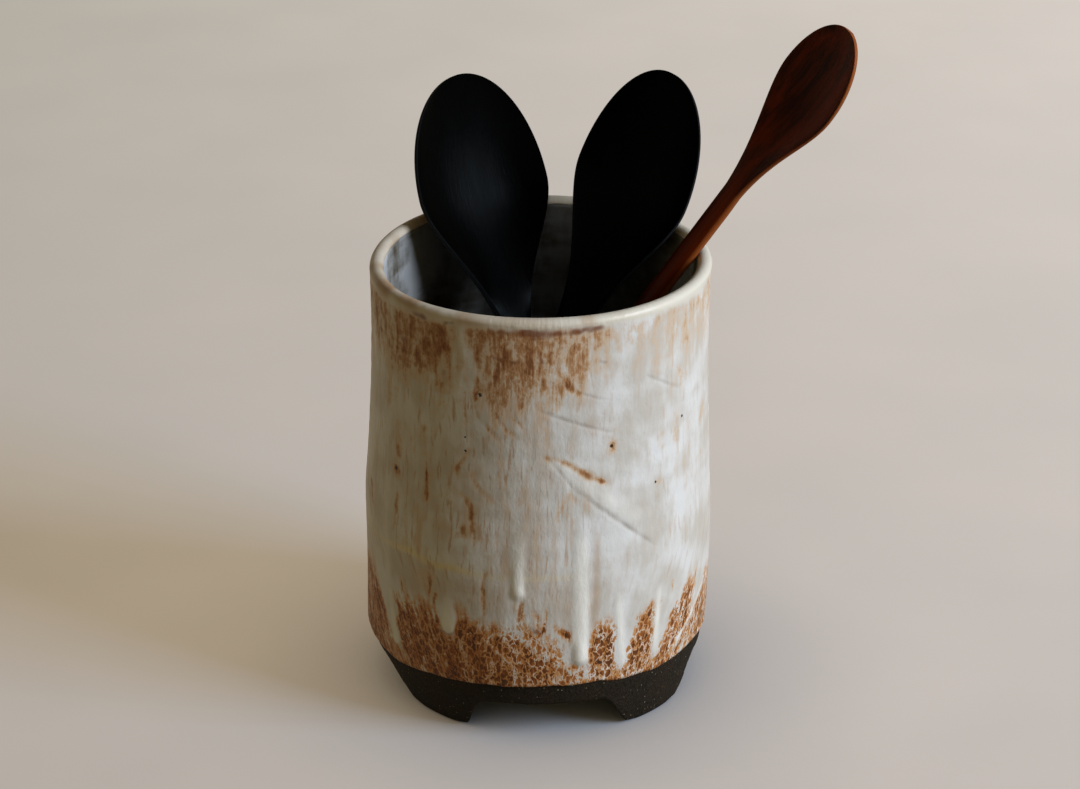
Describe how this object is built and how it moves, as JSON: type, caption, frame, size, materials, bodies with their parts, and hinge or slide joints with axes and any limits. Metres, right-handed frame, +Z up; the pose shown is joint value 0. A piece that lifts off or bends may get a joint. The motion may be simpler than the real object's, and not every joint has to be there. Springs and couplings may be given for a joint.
{
  "type": "utensil crock",
  "caption": "Round glazed stoneware crock on cut feet, holding wooden spoons that lift out of it.",
  "frame": {"origin": "on the ground, under the middle of the crock", "axes": "+Z up along the axis of the crock, -Y towards the front, which has the main glaze run, and +X right"},
  "size_m": [0.2056, 0.1545, 0.3001],
  "materials": {
    "bare_clay": "rough, speckled",
    "outside_glaze": "satin",
    "inside_glaze": "satin",
    "black_wood": "oiled, satin",
    "brown_wood": "oiled, satin"
  },
  "bodies": {
    "crock": {"clay_body": "bare_clay", "outer_glaze": "outside_glaze", "liner_glaze": "inside_glaze"},
    "black_spoon_left": {"black_spoon_left": "black_wood"},
    "black_spoon_right": {"black_spoon_right": "black_wood"},
    "brown_spoon": {"brown_spoon": "brown_wood"}
  },
  "joints": [
    {"name": "black_spoon_left_lift", "type": "slide", "parent": "crock", "child": "black_spoon_left", "axis": [-0.2765, 0.4713, 0.8375], "range_m": [0, 0.215]},
    {"name": "black_spoon_right_lift", "type": "slide", "parent": "crock", "child": "black_spoon_right", "axis": [0.4596, 0.2707, 0.8458], "range_m": [0, 0.215]},
    {"name": "brown_spoon_lift", "type": "slide", "parent": "crock", "child": "brown_spoon", "axis": [0.5322, -0.1366, 0.8355], "range_m": [0, 0.215]}
  ]
}
